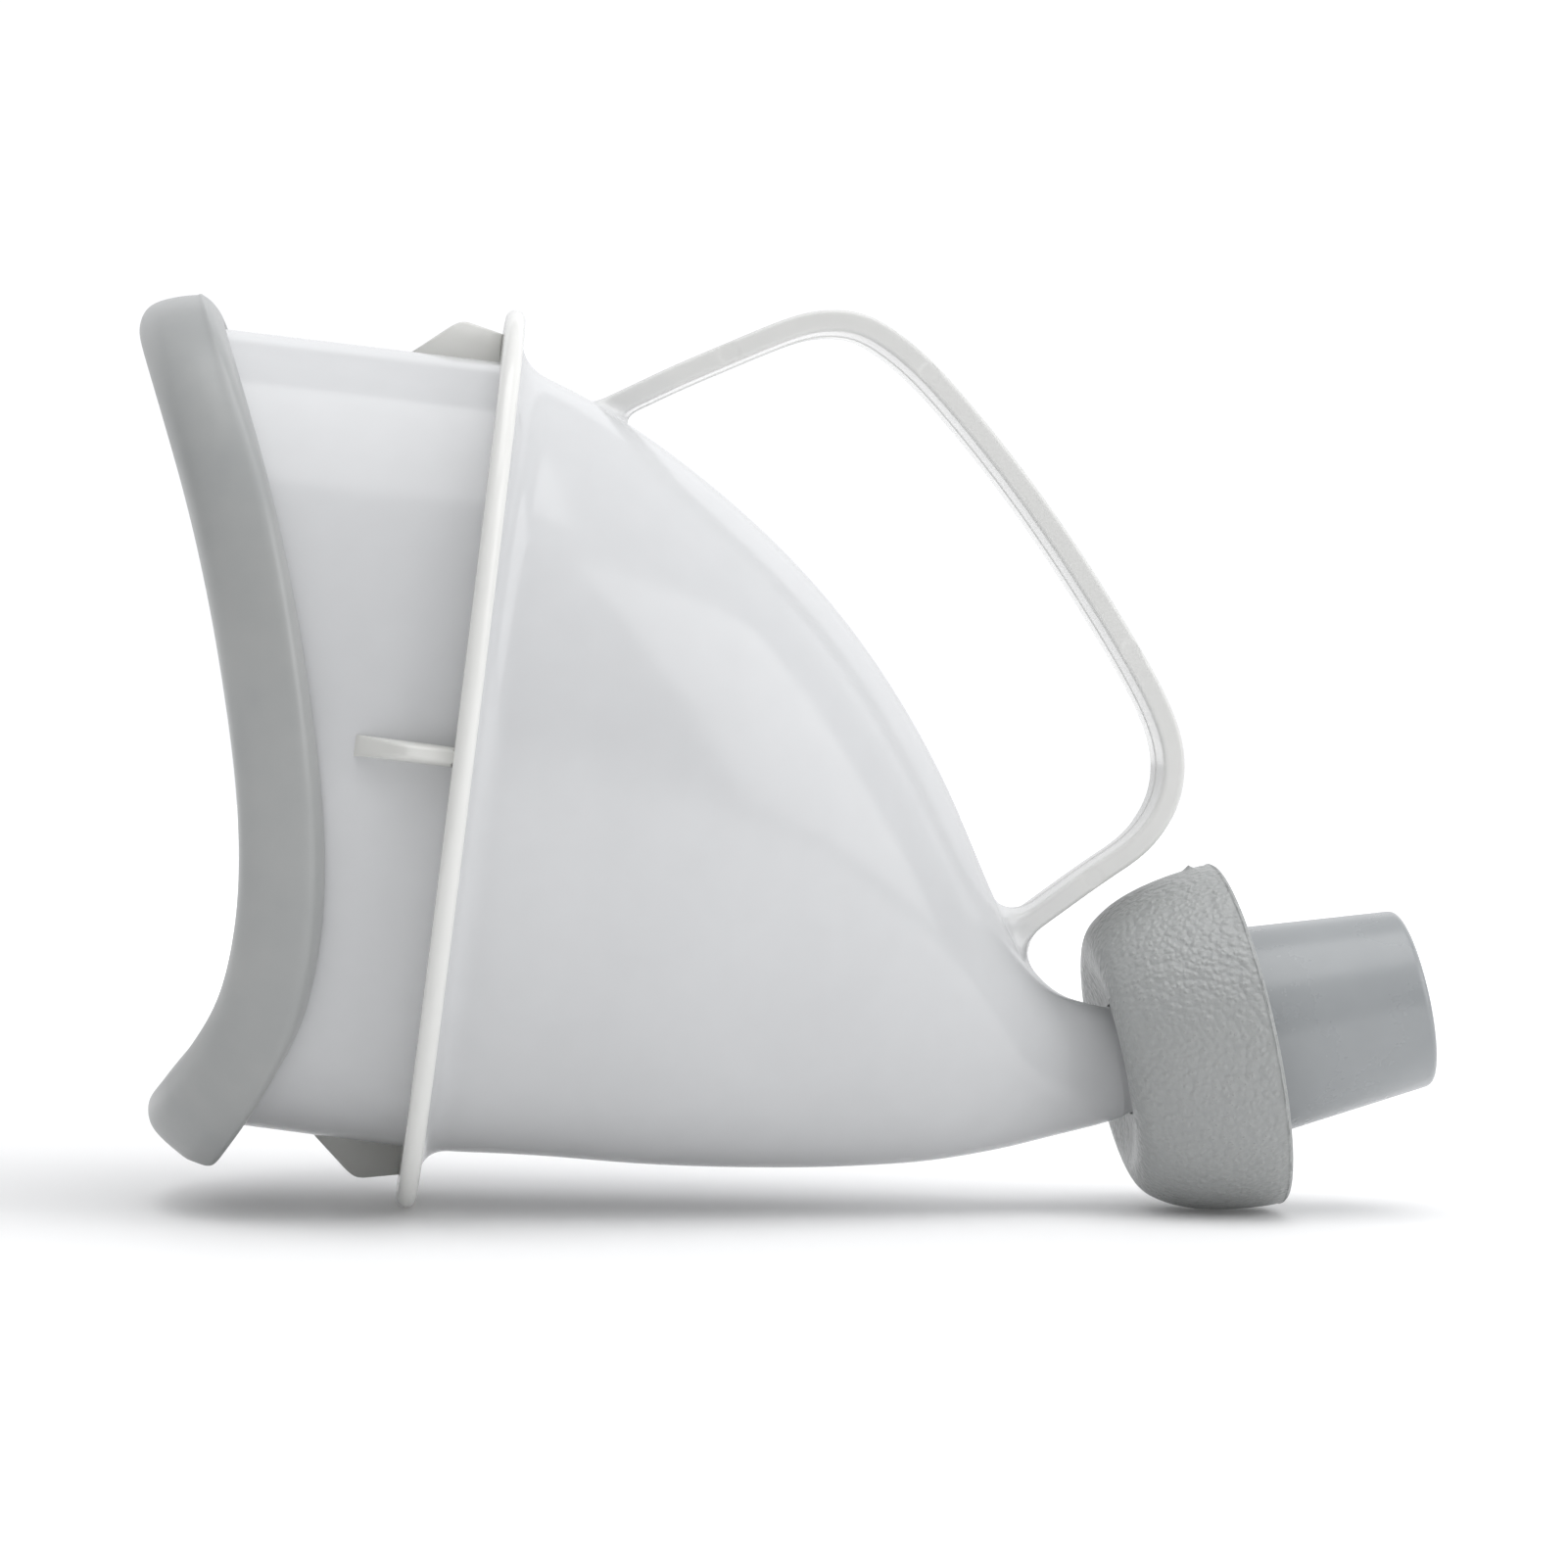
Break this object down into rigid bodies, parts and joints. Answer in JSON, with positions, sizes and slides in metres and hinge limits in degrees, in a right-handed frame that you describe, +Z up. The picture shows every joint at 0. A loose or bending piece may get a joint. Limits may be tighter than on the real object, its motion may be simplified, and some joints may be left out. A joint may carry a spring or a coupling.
{
  "type": "portable urinal funnel",
  "caption": "Hand-held urinal funnel with an oval soft-rimmed mouth, standing flange, loop handle and a push-on tapered adaptor for drink-bottle necks.",
  "frame": {"origin": "under the middle of the whole part's box, on the surface that it stands on", "axes": "+X from the mouth toward the outlet, +Z up as it stands on the flange's lower edge and the collar, +Y across, to the left of someone looking from the mouth to the outlet"},
  "size_m": [0.151, 0.086, 0.1036],
  "materials": {
    "funnel": "glossy moulded polypropylene, pale blue-grey white",
    "soft_rim": "satin soft-touch elastomer, mid grey",
    "collar": "soft elastomer with a fine leather-like moulded grain, mid grey",
    "spout": "smooth satin elastomer, mid grey"
  },
  "bodies": {
    "funnel": {"mouth_tube": "funnel", "flange_ring": "funnel", "gusset_top": "funnel", "gusset_bottom": "funnel", "gusset_right": "funnel", "gusset_left": "funnel", "funnel_hood": "funnel", "outlet_neck": "funnel", "handle_loop": "funnel"},
    "rim": {"mouth_rim": "soft_rim"},
    "spout": {"outlet_spout": "spout"},
    "collar": {"bottle_collar": "collar"}
  },
  "joints": [
    {"name": "rim_pull_off", "type": "slide", "parent": "funnel", "child": "rim", "axis": [-0.9943, 0, 0.1063], "range_m": [0, 0.03]},
    {"name": "adaptor_pull_off", "type": "slide", "parent": "funnel", "child": "spout", "axis": [0.9763, 0, 0.2164], "range_m": [0, 0.02]},
    {"name": "collar_turn", "type": "hinge", "parent": "spout", "child": "collar", "pos_m": [0.03812, 0, 0.0173], "axis": [0.9763, 0, 0.2164], "continuous": true}
  ]
}
